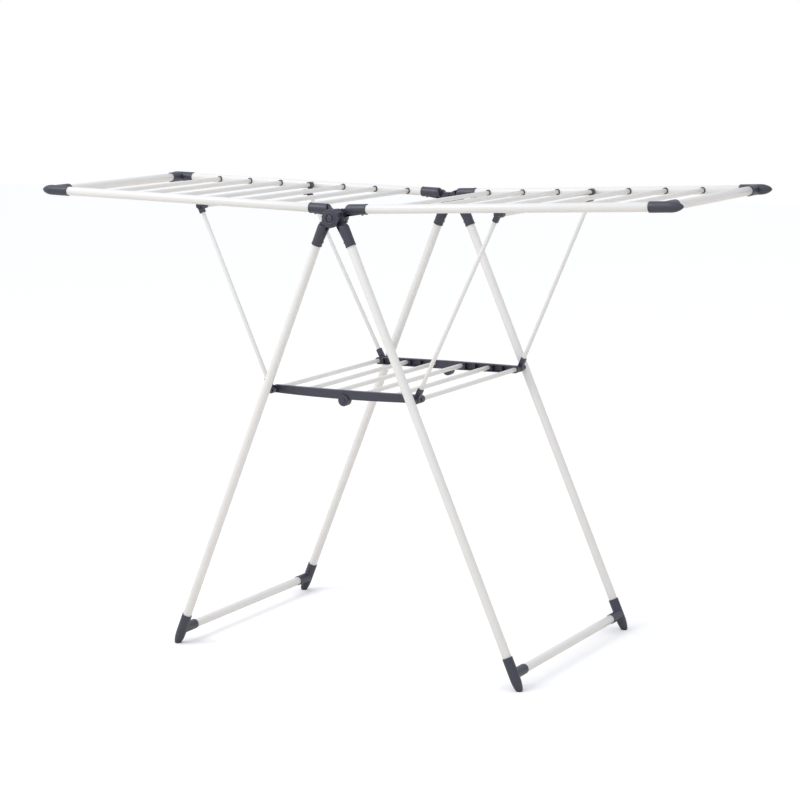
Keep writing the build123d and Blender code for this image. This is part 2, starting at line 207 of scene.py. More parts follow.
# --------------------------------------------------------------------------- surfaces
@dataclass
class Shell:
    """One closed surface: rings of equal length, capped by fans or joined into a loop.

    Attributes:
        rings: Array (rows, columns, 3); columns wrap round.
        looped: True if the last ring joins the first, as in a tube with a wall.
    """

    rings: np.ndarray
    looped: bool = False

    def moved(self, place: Any) -> "Shell":
        """The same shell with its points passed through a placing function."""
        return Shell(place(self.rings), self.looped)

    def mesh_arrays(self) -> tuple[np.ndarray, np.ndarray]:
        """Vertices and faces of the shell.

        Quad (i, j) joins rings i and i + 1 between columns j and j + 1. A cap is a fan
        round the mean point of its ring, stored as a quad that repeats a corner. Faces
        are turned outwards if the signed volume, the sum of a . (b x c) / 6 over the
        triangles, is negative.

        Returns:
            Vertices (n, 3) and faces (m, 4), a triangle having its last index repeated.
        """
        rows, cols = self.rings.shape[:2]
        verts = self.rings.reshape(-1, 3)
        i = np.arange(rows if self.looped else rows - 1)[:, None]
        j = np.arange(cols)[None, :]
        i1, j1 = (i + 1) % rows, (j + 1) % cols
        quads = np.stack([i * cols + j, i * cols + j1, i1 * cols + j1, i1 * cols + j], -1)
        faces = quads.reshape(-1, 4)
        if not self.looped:
            centres = np.stack([self.rings[0].mean(0), self.rings[-1].mean(0)])
            first, last = len(verts), len(verts) + 1
            j = j[0]
            low = np.stack([(j + 1) % cols, j, np.full(cols, first), np.full(cols, first)], -1)
            base = (rows - 1) * cols
            high = np.stack([base + j, base + (j + 1) % cols, np.full(cols, last), np.full(cols, last)], -1)
            verts = np.concatenate([verts, centres])
            faces = np.concatenate([faces, low, high])
        a, b, c, d = (verts[faces[:, k]] for k in range(4))
        volume = np.einsum("ij,ij->i", a, np.cross(b, c)).sum()
        volume += np.einsum("ij,ij->i", a, np.cross(c, d)).sum()
        if volume < 0:
            faces = faces[:, [1, 0, 3, 2]]
        return verts, faces


def lathe(profile: Sequence[tuple[float, float]], segments: int = 48, looped: bool = False) -> Shell:
    """Surface of revolution about the first local axis.

    Point (k, a) is (s_k, r_k cos a, r_k sin a).

    Args:
        profile: (s, r) pairs in millimetres.
        segments: Columns round the axis.
        looped: True if the profile is a closed loop.

    Returns:
        The shell in local axes.
    """
    pr = np.asarray(profile, float)
    a = np.linspace(0.0, 2.0 * math.pi, segments, endpoint=False)
    s = np.repeat(pr[:, :1], segments, axis=1)
    y = pr[:, 1:] * np.cos(a)
    z = pr[:, 1:] * np.sin(a)
    return Shell(np.stack([s, y, z], axis=-1), looped)


def rounded_corner(centre: tuple[float, float], radius: float, start: float, stop: float,
                   steps: int = 5) -> list[tuple[float, float]]:
    """Arc of a profile: centre + radius * (cos t, sin t) for t from start to stop degrees.

    Args:
        centre: (s, r) of the arc's centre.
        radius: Arc radius in millimetres.
        start: First angle in degrees.
        stop: Last angle in degrees.
        steps: Number of points.

    Returns:
        (s, r) pairs.
    """
    t = np.radians(np.linspace(start, stop, steps))
    return list(zip(centre[0] + radius * np.cos(t), centre[1] + radius * np.sin(t)))


def pipe(length: float, radius: float, wall: float, segments: int = 48, edge: float = 0.25) -> Shell:
    """Open-ended tube along the first axis, with its cut edges broken.

    Args:
        length: Tube length.
        radius: Outer radius.
        wall: Wall thickness.
        segments: Columns round the axis.
        edge: Radius of the broken edges.

    Returns:
        A looped shell from s = 0 to s = length.
    """
    inner = radius - wall
    prof = rounded_corner((edge, radius - edge), edge, 180, 90, 3)
    prof += rounded_corner((length - edge, radius - edge), edge, 90, 0, 3)
    prof += rounded_corner((length - edge, inner + edge), edge, 0, -90, 3)
    prof += rounded_corner((edge, inner + edge), edge, -90, -180, 3)
    return lathe(prof, segments, True)


def superellipse_loft(rows: np.ndarray, segments: int = 48) -> Shell:
    """Loft of superellipse sections along the first axis.

    Section k, in the plane s = s_k, is y = yc + hy * sgn(cos a) |cos a|^(2/n) and
    z = zc + hz * sgn(sin a) |sin a|^(2/n): n = 2 is round, larger n is squarer.

    Args:
        rows: Array whose rows are (s, yc, hy, zc, hz, n).
        segments: Columns round each section.

    Returns:
        The shell in local axes.
    """
    a = np.linspace(0.0, 2.0 * math.pi, segments, endpoint=False)[None, :]
    s, yc, hy, zc, hz, n = (rows[:, k:k + 1] for k in range(6))
    c, d = np.cos(a), np.sin(a)
    y = yc + hy * np.sign(c) * np.abs(c) ** (2.0 / n)
    z = zc + hz * np.sign(d) * np.abs(d) ** (2.0 / n)
    return Shell(np.stack([np.broadcast_to(s, y.shape), y, z], axis=-1))


def smooth(t: np.ndarray) -> np.ndarray:
    """Smooth step 3 t^2 - 2 t^3 of a value clipped to 0..1."""
    t = np.clip(t, 0.0, 1.0)
    return t * t * (3.0 - 2.0 * t)


def saddle_sleeve(radius: float, bore: float, reach: float, depth: float, host_r: float,
                  fillet: float, segments: int = 64) -> Shell:
    """Sleeve standing on a round barrel, with a moulded fillet at its root.

    The third axis is the sleeve's: point (t, a) lies at r(t, a) from that axis and
    starts on the barrel, whose surface is at height sqrt(host_r^2 - (r sin a)^2). The
    fillet is a quarter circle whose size falls to nothing where the two rounds are
    tangent, |cos a|^1.5. Past the root the sleeve is straight to its mouth, turns over
    a rounded rim and goes down the bore.

    Args:
        radius: Outer radius of the sleeve.
        bore: Radius of the hole that takes the tube.
        reach: Distance from the barrel's axis to the mouth.
        depth: Height of the bore's floor above the barrel's axis.
        host_r: Radius of the barrel.
        fillet: Largest fillet radius.
        segments: Columns round the sleeve.

    Returns:
        Shell with axes (along the barrel, across it, up the sleeve).
    """
    a = np.linspace(0.0, 2.0 * math.pi, segments, endpoint=False)[None, :]
    f = fillet * np.abs(np.cos(a)) ** 1.5
    t = np.linspace(0.0, math.pi / 2, 8)[:, None]
    r_root = radius + f * (1.0 - np.sin(t))
    seat = np.sqrt(np.maximum(host_r ** 2 - (r_root * np.sin(a)) ** 2, 0.0))
    h_root = seat - 0.4 * (1.0 - np.sin(t)) + f * (1.0 - np.cos(t))
    rim = rounded_corner((reach - 0.7, radius - 0.7), 0.7, 90, 0, 5)
    rim += rounded_corner((reach - 0.35, bore + 0.35), 0.35, 0, -90, 4)
    rim += [(depth, bore)]
    bead = [(reach - 4.6, radius), (reach - 4.2, radius + 0.35), (reach - 1.4, radius + 0.35),
            (reach - 1.0, radius)]
    tail = np.asarray(bead[:1] + rim)
    h_tail = np.repeat(tail[:, :1], segments, axis=1)
    r_tail = np.repeat(tail[:, 1:], segments, axis=1)
    r = np.concatenate([r_root, r_tail])
    h = np.concatenate([h_root, h_tail])
    return Shell(np.stack([r * np.cos(a), r * np.sin(a), h], axis=-1))


def plate(outline: np.ndarray, low: float, high: float, edge: float = 0.5) -> Shell:
    """Flat plate with broken edges.

    Rows one and four are the outline drawn in by the edge towards its mean point,
    rows two and three are the outline itself, one edge in from either face.

    Args:
        outline: Points (columns, 2) as (along, off) seen from the side.
        low: Depth of one face.
        high: Depth of the other face.
        edge: Size of the broken edge.

    Returns:
        Shell with axes (along, depth, off).
    """
    arm = outline - outline.mean(0)
    inset = outline - edge * arm / np.linalg.norm(arm, axis=1, keepdims=True)
    rows = [(inset, low), (outline, low + edge), (outline, high - edge), (inset, high)]
    rings = [np.stack([o[:, 0], np.full(len(o), y), o[:, 1]], axis=-1) for o, y in rows]
    return Shell(np.stack(rings))


def sweep(path: np.ndarray, normal: np.ndarray, section: np.ndarray, looped: bool = False) -> Shell:
    """Carry a flat section along a path.

    The path lies in a plane with the given normal. At each point the section's first
    coordinate runs along tangent x normal and its second along the normal.

    Args:
        path: Points (rows, 3).
        normal: Unit normal of the path's plane.
        section: Closed outline (columns, 2).
        looped: True if the path closes on itself.

    Returns:
        The swept shell.
    """
    tangent = np.gradient(path, axis=0)
    tangent /= np.linalg.norm(tangent, axis=1, keepdims=True)
    across = np.cross(tangent, normal)
    rings = path[:, None, :] + section[None, :, :1] * across[:, None, :] + section[None, :, 1:] * normal
    return Shell(rings, looped)


def rounded_rectangle(width: float, height: float, radius: float, steps: int = 4) -> np.ndarray:
    """Outline of a rectangle with quarter-circle corners.

    Args:
        width: Size along the first coordinate.
        height: Size along the second coordinate.
        radius: Corner radius.
        steps: Points in each corner.

    Returns:
        Outline (columns, 2), centred on the origin.
    """
    pts = []
    for sx, sy, a0 in ((1, 1, 0), (-1, 1, 90), (-1, -1, 180), (1, -1, 270)):
        t = np.radians(np.linspace(a0, a0 + 90, steps))
        cx, cy = sx * (width / 2 - radius), sy * (height / 2 - radius)
        pts.append(np.stack([cx + radius * np.cos(t), cy + radius * np.sin(t)], axis=-1))
    return np.concatenate(pts)


def make_piece(name: str, shells: Sequence[Shell], material: bpy.types.Material, body: str,
               replaces: Sequence[str]) -> bpy.types.Object:
    """Write closed shells into one mesh object and tie it to the frame.

    Args:
        name: Object name.
        shells: Shells in rack coordinates, millimetres.
        material: Finish of the piece.
        body: CAD body that it rides on.
        replaces: CAD nodes that it stands for.

    Returns:
        The finished object.
    """
    verts, tris, quads, base = [], [], [], 0
    for shell in shells:
        v, f = shell.mesh_arrays()
        verts.append(v)
        fan = f[:, 2] == f[:, 3]
        tris.append(f[fan][:, :3] + base)
        quads.append(f[~fan] + base)
        base += len(v)
    points = np.concatenate(verts) * MM
    tri, quad = np.concatenate(tris), np.concatenate(quads)
    loops = np.concatenate([quad.ravel(), tri.ravel()]).astype(np.int32)
    totals = np.concatenate([np.full(len(quad), 4), np.full(len(tri), 3)]).astype(np.int32)
    starts = np.concatenate([[0], np.cumsum(totals)[:-1]]).astype(np.int32)
    mesh = bpy.data.meshes.new(name)
    mesh.vertices.add(len(points))
    mesh.vertices.foreach_set("co", points.astype(np.float32).ravel())
    mesh.loops.add(len(loops))
    mesh.loops.foreach_set("vertex_index", loops)
    mesh.polygons.add(len(totals))
    mesh.polygons.foreach_set("loop_start", starts)
    mesh.polygons.foreach_set("loop_total", totals)
    mesh.polygons.foreach_set("use_smooth", np.ones(len(totals), dtype=bool))
    mesh.update(calc_edges=True)
    mesh.validate()
    obj = bpy.data.objects.new(name, mesh)
    bpy.context.scene.collection.objects.link(obj)
    mesh.set_sharp_from_angle(angle=math.radians(38))
    mesh.materials.append(material)
    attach(obj, body)
    if replaces:
        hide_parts(*replaces)
    LOG.info("%s: %d faces", name, len(totals))
    return obj


# --------------------------------------------------------------------------- finishes
def linear(hex_colour: str) -> tuple[float, float, float, float]:
    """Linear colour of an sRGB hex value.

    Args:
        hex_colour: Colour as "#rrggbb".

    Returns:
        Linear red, green, blue and an alpha of 1.
    """
    parts = [int(hex_colour[k:k + 2], 16) / 255.0 for k in (1, 3, 5)]
    lin = [p / 12.92 if p <= 0.04045 else ((p + 0.055) / 1.055) ** 2.4 for p in parts]
    return lin[0], lin[1], lin[2], 1.0


def add_node(tree: bpy.types.NodeTree, kind: str, settings: dict[str, Any] | None = None,
             inputs: dict[str, Any] | None = None) -> bpy.types.Node:
    """Add one shader node with its settings, values and links.

    Args:
        tree: Node tree of the material.
        kind: Node type name.
        settings: Attributes to set.
        inputs: Values or output sockets for the named inputs.

    Returns:
        The node.
    """
    node = tree.nodes.new(kind)
    for key, value in (settings or {}).items():
        setattr(node, key, value)
    for key, value in (inputs or {}).items():
        socket = node.inputs[key]
        if isinstance(value, bpy.types.NodeSocket):
            tree.links.new(value, socket)
        else:
            socket.default_value = value
    return node


def new_tree(name: str) -> tuple[bpy.types.Material, bpy.types.NodeTree]:
    """Empty node material of that name, with its tree."""
    material = bpy.data.materials.new(name)
    material.use_nodes = True
    material.node_tree.nodes.clear()
    return material, material.node_tree


@dataclass(frozen=True)
class PowderCoat:
    """Epoxy-polyester powder coat on steel tube: sprayed dry and baked.

    The bake leaves a satin skin with a faint orange peel, which breaks up the long
    highlights, and the coat lies a little thicker and warmer here and there.
    """

    name: str = "white powder coat on steel tube"
    colour: str = "#ecebe9"
    shade: str = "#e7e6e4"
    roughness: float = 0.34
    peel_mm: float = 1.6
    cloud_mm: float = 60.0

    def material(self) -> bpy.types.Material:
        """Build the node material: cloud noise in the colour, orange peel in the bump."""
        material, tree = new_tree(self.name)
        coords = add_node(tree, "ShaderNodeTexCoord").outputs["Object"]
        cloud = add_node(tree, "ShaderNodeTexNoise", {}, {
            "Vector": coords, "Scale": 1.0 / (self.cloud_mm * MM), "Detail": 3.0, "Roughness": 0.55})
        tint = add_node(tree, "ShaderNodeMix", {"data_type": "RGBA"}, {0: cloud.outputs["Fac"]})
        tint.inputs[6].default_value = linear(self.shade)
        tint.inputs[7].default_value = linear(self.colour)
        peel = add_node(tree, "ShaderNodeTexNoise", {}, {
            "Vector": coords, "Scale": 1.0 / (self.peel_mm * MM), "Detail": 2.0, "Roughness": 0.5})
        bump = add_node(tree, "ShaderNodeBump", {}, {
            "Height": peel.outputs["Fac"], "Strength": 0.10, "Distance": 0.0002})
        gloss = add_node(tree, "ShaderNodeMapRange", {}, {
            "Value": cloud.outputs["Fac"], "To Min": self.roughness - 0.05, "To Max": self.roughness + 0.06})
        shader = add_node(tree, "ShaderNodeBsdfPrincipled", {}, {
            "Base Color": tint.outputs[2], "Roughness": gloss.outputs["Result"],
            "Normal": bump.outputs["Normal"], "IOR": 1.5, "Coat Weight": 0.25, "Coat Roughness": 0.2})
        add_node(tree, "ShaderNodeOutputMaterial", {}, {"Surface": shader.outputs["BSDF"]})
        return material


@dataclass(frozen=True)
class MouldedPlastic:
    """Slate-grey polypropylene, injection moulded in a lightly spark-eroded tool.

    The tool leaves a fine even grain, so highlights are broad and soft, and the skin
    varies a little in shade where the melt flowed and in gloss where hands rub it.
    """

    name: str = "slate grey moulded polypropylene"
    colour: str = "#323446"
    shade: str = "#2b2d3c"
    roughness: float = 0.42
    grain_mm: float = 0.55
    flow_mm: float = 22.0

    def material(self) -> bpy.types.Material:
        """Build the node material: flow shading, spark grain and rubbed gloss."""
        material, tree = new_tree(self.name)
        coords = add_node(tree, "ShaderNodeTexCoord").outputs["Object"]
        flow = add_node(tree, "ShaderNodeTexNoise", {}, {
            "Vector": coords, "Scale": 1.0 / (self.flow_mm * MM), "Detail": 4.0, "Roughness": 0.6})
        tint = add_node(tree, "ShaderNodeMix", {"data_type": "RGBA"}, {0: flow.outputs["Fac"]})
        tint.inputs[6].default_value = linear(self.shade)
        tint.inputs[7].default_value = linear(self.colour)
        grain = add_node(tree, "ShaderNodeTexNoise", {}, {
            "Vector": coords, "Scale": 1.0 / (self.grain_mm * MM), "Detail": 3.0, "Roughness": 0.6})
        bump = add_node(tree, "ShaderNodeBump", {}, {
            "Height": grain.outputs["Fac"], "Strength": 0.25, "Distance": 0.00012})
        gloss = add_node(tree, "ShaderNodeMapRange", {}, {
            "Value": flow.outputs["Fac"], "To Min": self.roughness - 0.08, "To Max": self.roughness + 0.08})
        shader = add_node(tree, "ShaderNodeBsdfPrincipled", {}, {
            "Base Color": tint.outputs[2], "Roughness": gloss.outputs["Result"],
            "Normal": bump.outputs["Normal"], "IOR": 1.49, "Specular IOR Level": 0.8})
        add_node(tree, "ShaderNodeOutputMaterial", {}, {"Surface": shader.outputs["BSDF"]})
        return material


@dataclass(frozen=True)
class ZincSteel:
    """Zinc-plated steel screws, passivated dark, with faint turning marks."""

    name: str = "dark zinc plated steel"
    colour: str = "#8b8c90"
    roughness: float = 0.38
    mark_mm: float = 0.4

    def material(self) -> bpy.types.Material:
        """Build the node material: metal with fine turning marks in its roughness."""
        material, tree = new_tree(self.name)
        coords = add_node(tree, "ShaderNodeTexCoord").outputs["Object"]
        marks = add_node(tree, "ShaderNodeTexNoise", {}, {
            "Vector": coords, "Scale": 1.0 / (self.mark_mm * MM), "Detail": 2.0})
        gloss = add_node(tree, "ShaderNodeMapRange", {}, {
            "Value": marks.outputs["Fac"], "To Min": self.roughness - 0.1, "To Max": self.roughness + 0.12})
        shader = add_node(tree, "ShaderNodeBsdfPrincipled", {}, {
            "Base Color": linear(self.colour), "Metallic": 1.0, "Roughness": gloss.outputs["Result"]})
        add_node(tree, "ShaderNodeOutputMaterial", {}, {"Surface": shader.outputs["BSDF"]})
        return material


@dataclass(frozen=True)
class Finishes:
    """The three finishes of the rack, built once and shared."""

    coat: bpy.types.Material
    plastic: bpy.types.Material
    screw: bpy.types.Material


# --------------------------------------------------------------------------- hub
@dataclass
class HubSocket:
    """Flat toothed lug on the hub axis that grows into a round socket.

    Attributes:
        lug_r: Radius of the lug's round end.
        lug_t: Thickness of the lug.
        lug_t: Thickness of the lug.
        barrel_start: Distance from the axis to the middle of the barrel's blind end.
        barrel_slant: How far that end leans over the barrel's radius.
        web_t: Thickness of the neck and of the web under the barrel.
        mouth: Distance from the axis to the socket mouth.
        teeth: Number of round teeth on the lug's rim.
        tooth_r: Radius of each tooth.
        arm_above: Angle above the arm, in radians, where the teeth begin.
        arm_below: Angle where they end, short of the arm.
    """

    sizes: RackSizes
    lug_r: float = 17.0
    lug_t: float = 10.8
    barrel_start: float = 23.0
    barrel_slant: float = 3.8
    mouth: float = 69.0
    web_t: float = 6.4
    teeth: int = 10
    tooth_r: float = 2.2
    arm_above: float = 0.9
    arm_below: float = 5.9

    def barrel(self) -> Shell:
        """Round socket with a slanted blind end, in axes (along, depth, off).

        Its first rows lie at start + slant * sin a, so that the end faces the lug.
        """
        r, bore = self.sizes.socket_r, self.sizes.tube_r + self.sizes.snug
        prof = [(0.0, 4.0), (0.0, r - 0.8), (0.25, r - 0.25), (0.8, r), (8.0, r)]
        mouth = self.mouth - self.barrel_start
        prof += [(mouth - 3.2, r), (mouth - 2.9, r + 0.45), (mouth - 0.8, r + 0.45), (mouth - 0.25, r + 0.2),
                 (mouth, r - 0.35), (mouth, bore + 0.3), (mouth - 0.4, bore),
                 (self.sizes.tube_start - self.barrel_start, bore)]
        rings = lathe(prof, 64).rings
        slant = self.barrel_slant * rings[..., 2] / self.sizes.socket_r
        rings[..., 0] += slant * (1.0 - smooth((rings[..., 0] - 1.0) / 7.0)) + self.barrel_start
        return Shell(rings)

    def shells(self, frame: ArmFrame, plane: float, outer_layer: bool) -> list[Shell]:
        """Surfaces of one socket.

        The lug is a plate round the hub axis whose top climbs at 45 degrees to the
        barrel. A thinner plate carries on from it to the barrel's blind end, and a
        tapering web runs on under the barrel.

        Args:
            frame: Arm axes.
            plane: Distance of the tube's centre from the middle of the rack.
            outer_layer: True if the lug lies in the outer half of the layer.

        Returns:
            The plates, the barrel and the teeth.
        """
        sz = self.sizes
        off, r = sz.axis_offset, sz.socket_r
        shift = (r - self.lug_t / 2) * (1 if outer_layer else -1)
        a = np.linspace(math.radians(90), math.radians(302), 44)
        disc = self.lug_r * np.stack([np.cos(a), np.sin(a)], axis=-1)
        arm = np.array([(17.6, -5.2), (18.7, 0.6), (19.9, 7.0), (19.9, off + 6.6), (13.6, self.lug_r + 0.2)])
        middle = plane + shift
        outline = np.concatenate([disc, arm])
        lug = plate(outline, middle - self.lug_t / 2, middle + self.lug_t / 2, 0.6)
        neck_line = np.array([(19.3, 0.8), (31.0, 2.8), (31.0, 20.0), (25.4, off + r - 0.4),
                              (19.3, off + 6.0)])
        web_line = np.array([(20.0, 1.0), (31.0, 2.2), (53.0, 4.9), (53.0, 9.0), (20.0, 9.0)])
        half = self.web_t / 2
        neck = plate(neck_line, plane - half, plane + half, 0.5)
        web = plate(web_line, plane - half, plane + half, 0.5)
        barrel = self.barrel()
        barrel.rings = barrel.rings + np.array([0.0, plane, off])
        shells = [shell.moved(frame.place) for shell in (lug, neck, web, barrel)]
        for angle in 2.0 * math.pi * np.arange(self.teeth) / self.teeth:
            if angle < self.arm_above or angle > self.arm_below:
                continue
            pts, rad = lathe(self.tooth_profile(), 14).rings, self.lug_r - 0.6
            moved = np.stack([pts[..., 1] + rad * math.cos(angle), pts[..., 0] + middle,
                              pts[..., 2] + rad * math.sin(angle)], axis=-1)
            shells.append(Shell(frame.place(moved)))
        return shells

    def tooth_profile(self) -> list[tuple[float, float]]:
        """Profile of one round tooth across the lug, with eased ends."""
        half, r = self.lug_t / 2, self.tooth_r
        return (rounded_corner((-half + 0.8, r - 0.8), 0.8, 180, 90, 4)
                + rounded_corner((half - 0.8, r - 0.8), 0.8, 90, 0, 4))


@dataclass
class Hub:
    """The two hinge stacks: sockets, capped bolts and inner nuts.

    Attributes:
        cap_r: Radius of the bolt's cap.
        cap_t: Thickness of the cap.
        scallops: Finger scallops round the cap's edge.
        shank_r: Radius of the bolt's shank.
        nut_t: Thickness of the inner nut, which the shank passes through.
    """

    sizes: RackSizes
    finishes: Finishes
    cap_r: float = 20.0
    cap_t: float = 5.0
    scallops: int = 14
    shank_r: float = 4.0
    nut_t: float = 4.5

    def cap(self, end: End) -> Shell:
        """Capped head of a pivot bolt with its shank.

        A lathe profile gives the raised button, the two rings and the rim. The rim's
        radius is then dished by 1.2 mm * cos^6 of half the scallop angle.

        Args:
            end: Front or back hub.

        Returns:
            The shell in rack coordinates.
        """
        face = self.sizes.leg_plane + self.sizes.socket_r + self.cap_t
        under = face - self.cap_t + 0.1
        r = self.cap_r
        prof = [(face + 0.55, 0.4), (face + 0.5, 4.6), (face + 0.2, 6.2), (face - 0.5, 6.9),
                (face - 2.3, 7.1), (face - 2.3, 9.0), (face - 0.5, 9.2), (face - 0.1, 9.7),
                (face + 0.0, 10.3), (face + 0.0, 13.0), (face - 0.25, 13.6), (face - 1.1, 14.0),
                (face - 1.2, 14.6), (face - 1.2, r - 1.0), (face - 1.4, r - 0.4), (face - 1.9, r),
                (under + 0.5, r), (under, r - 0.5), (under, self.shank_r),
                (self.sizes.wing_plane - self.sizes.socket_r - self.nut_t, self.shank_r)]
        shell = lathe(prof, 140)
        pts = shell.rings
        radius = np.hypot(pts[..., 1], pts[..., 2])
        angle = np.arctan2(pts[..., 2], pts[..., 1])
        dish = 1.2 * np.abs(np.cos(angle * self.scallops / 2.0)) ** 6
        scale = 1.0 - dish * smooth((radius - self.cap_r + 2.3) / 1.8) / np.maximum(radius, 1.0)
        y, z = pts[..., 1] * scale, pts[..., 2] * scale
        rack = np.stack([y, end.value * pts[..., 0], z + self.sizes.hub_height], axis=-1)
        return Shell(rack)

    def build(self) -> None:
        """Make the sockets and the capped bolts."""
        sz = self.sizes
        socket = HubSocket(sz)
        for side in Side:
            outer = side is Side.LEFT
            for end in End:
                tag = f"{end.word}_{side.word}"
                leg = socket.shells(leg_frame(sz, side, end), sz.leg_plane, outer)
                make_piece(f"leg_hub_socket_{tag}", leg, self.finishes.plastic, f"frame_{side.word}",
                           [f"leg_socket_{tag}"])
                wing = socket.shells(wing_frame(sz, side, end), sz.wing_plane, outer)
                make_piece(f"wing_hub_socket_{tag}", wing, self.finishes.plastic, f"wing_{side.word}",
                           [f"wing_socket_{tag}"])
        for end in End:
            make_piece(f"pivot_cap_{end.word}", [self.cap(end)], self.finishes.plastic, "frame_left",
                       [f"pivot_bolt_{end.word}"])

    def dress(self, nodes: dict[str, bpy.types.Object]) -> None:
        """Give the carried-over nuts and screws their finish.

        Args:
            nodes: CAD nodes by name.
        """
        set_finish(nodes, ["pivot_nuts"], self.finishes.plastic)
        names = [f"{kind}_screws_{side.word}" for kind in ("leg", "wing") for side in Side]
        set_finish(nodes, names, self.finishes.screw)


def set_finish(nodes: dict[str, bpy.types.Object], names: Sequence[str],
               material: bpy.types.Material) -> None:
    """Put one material on carried-over CAD nodes.

    Args:
        nodes: CAD nodes by name.
        names: Nodes to change.
        material: Their finish.
    """
    for name in names:
        mesh = nodes[name].data
        mesh.materials.clear()
        mesh.materials.append(material)
        LOG.info("%s keeps its solid shape", name)


# --------------------------------------------------------------------------- legs
@dataclass
class LegFrame:
    """One U-shaped leg frame: two legs, a bottom bar and two feet.

    Attributes:
        wall: Wall of the steel tube.
        foot_top: Floor to the top of the foot sleeve, along the leg.
        toe_len: Length of the bullet toe, along the leg.
        toe_tip_r: Radius at the toe's blunt tip.
        toe_cut: How much of the tip is cut flat, along the leg.
        bar_up: Floor to the bottom bar, along the leg.
        side_reach: Leg centre to the mouth of the foot's side sleeve.
    """

    sizes: RackSizes
    finishes: Finishes
    side: Side
    wall: float = 0.8
    foot_top: float = 73.5
    toe_len: float = 30.0
    toe_tip_r: float = 3.0
    toe_cut: float = 2.5
    bar_up: float = 36.6
    side_reach: float = 49.0

    @property
    def tube_end(self) -> float:
        """Hub axis to the lower end of the leg tube."""
        return self.sizes.leg_len - self.bar_up - self.sizes.socket_r - 2.5

    def foot(self, end: End) -> list[Shell]:
        """Foot fitting: sleeve and toe as a lathe, side sleeve with a moulded root.

        The toe's radius falls as tip + (socket - tip) * sqrt(1 - t^2) and is cut flat
        where it meets the floor.

        Args:
            end: Front or back.

        Returns:
            Shells in rack coordinates.
        """
        sz = self.sizes
        frame = leg_frame(sz, self.side, end)
        top, toe = sz.leg_len - self.foot_top, sz.leg_len - self.toe_len
        tip = sz.leg_len + self.toe_cut
        r, bore = sz.socket_r, sz.tube_r + sz.snug
        prof = [(self.tube_end + 0.3, bore), (top + 0.4, bore), (top, bore + 0.3)]
        prof += rounded_corner((top + 0.6, r - 0.6), 0.6, 180, 90, 5)
        prof += [(top + 8.0, r), (top + 24.0, r), (toe, r)]
        t = np.sin(np.linspace(0.0, math.pi / 2, 16))[1:]
        prof += list(zip(toe + (tip - toe) * t,
                         self.toe_tip_r + (r - self.toe_tip_r) * np.sqrt(np.maximum(1 - t * t, 0.0))))
        prof += [(tip, 1.2)]
        body = lathe(prof, 56)
        pts = body.rings + np.array([0.0, sz.leg_plane, sz.axis_offset])
        main = Shell(frame.place(pts))
        main.rings[..., 2] = np.maximum(main.rings[..., 2], 0.0)
        side = saddle_sleeve(r, bore, self.side_reach, r + 1.0, r, 3.2)
        p = side.rings
        local = np.stack([p[..., 0] + sz.leg_len - self.bar_up, sz.leg_plane - p[..., 2],
                          p[..., 1] + sz.axis_offset], axis=-1)
        return [main, Shell(frame.place(local))]

    def build(self) -> None:
        """Make the leg tubes, the bottom bar and the feet."""
        sz, word = self.sizes, self.side.word
        start = sz.tube_start
        for end in End:
            frame = leg_frame(sz, self.side, end)
            tube = pipe(self.tube_end - start, sz.tube_r, self.wall)
            tube.rings = tube.rings + np.array([start, sz.leg_plane, sz.axis_offset])
            tag = f"{end.word}_{word}"
            make_piece(f"leg_{tag}", [tube.moved(frame.place)], self.finishes.coat, f"frame_{word}",
                       [f"leg_tube_{tag}"])
            make_piece(f"foot_fitting_{tag}", self.foot(end), self.finishes.plastic, f"frame_{word}",
                       [f"foot_{tag}"])
        half = sz.leg_plane - sz.socket_r - 1.0
        bar = pipe(2 * half, sz.tube_r, self.wall)
        d = sz.leg_len - self.bar_up
        p = bar.rings
        local = np.stack([p[..., 1] + d, p[..., 0] - half, p[..., 2] + sz.axis_offset], axis=-1)
        frame = leg_frame(sz, self.side, End.FRONT)
        make_piece(f"floor_bar_{word}", [Shell(frame.place(local), True)], self.finishes.coat,
                   f"frame_{word}", [f"bottom_bar_{word}"])

    def dress(self, nodes: dict[str, bpy.types.Object]) -> None:
        """Give the carried-over leg pins their finish.

        Args:
            nodes: CAD nodes by name.
        """
        set_finish(nodes, [f"leg_pins_{self.side.word}"], self.finishes.plastic)


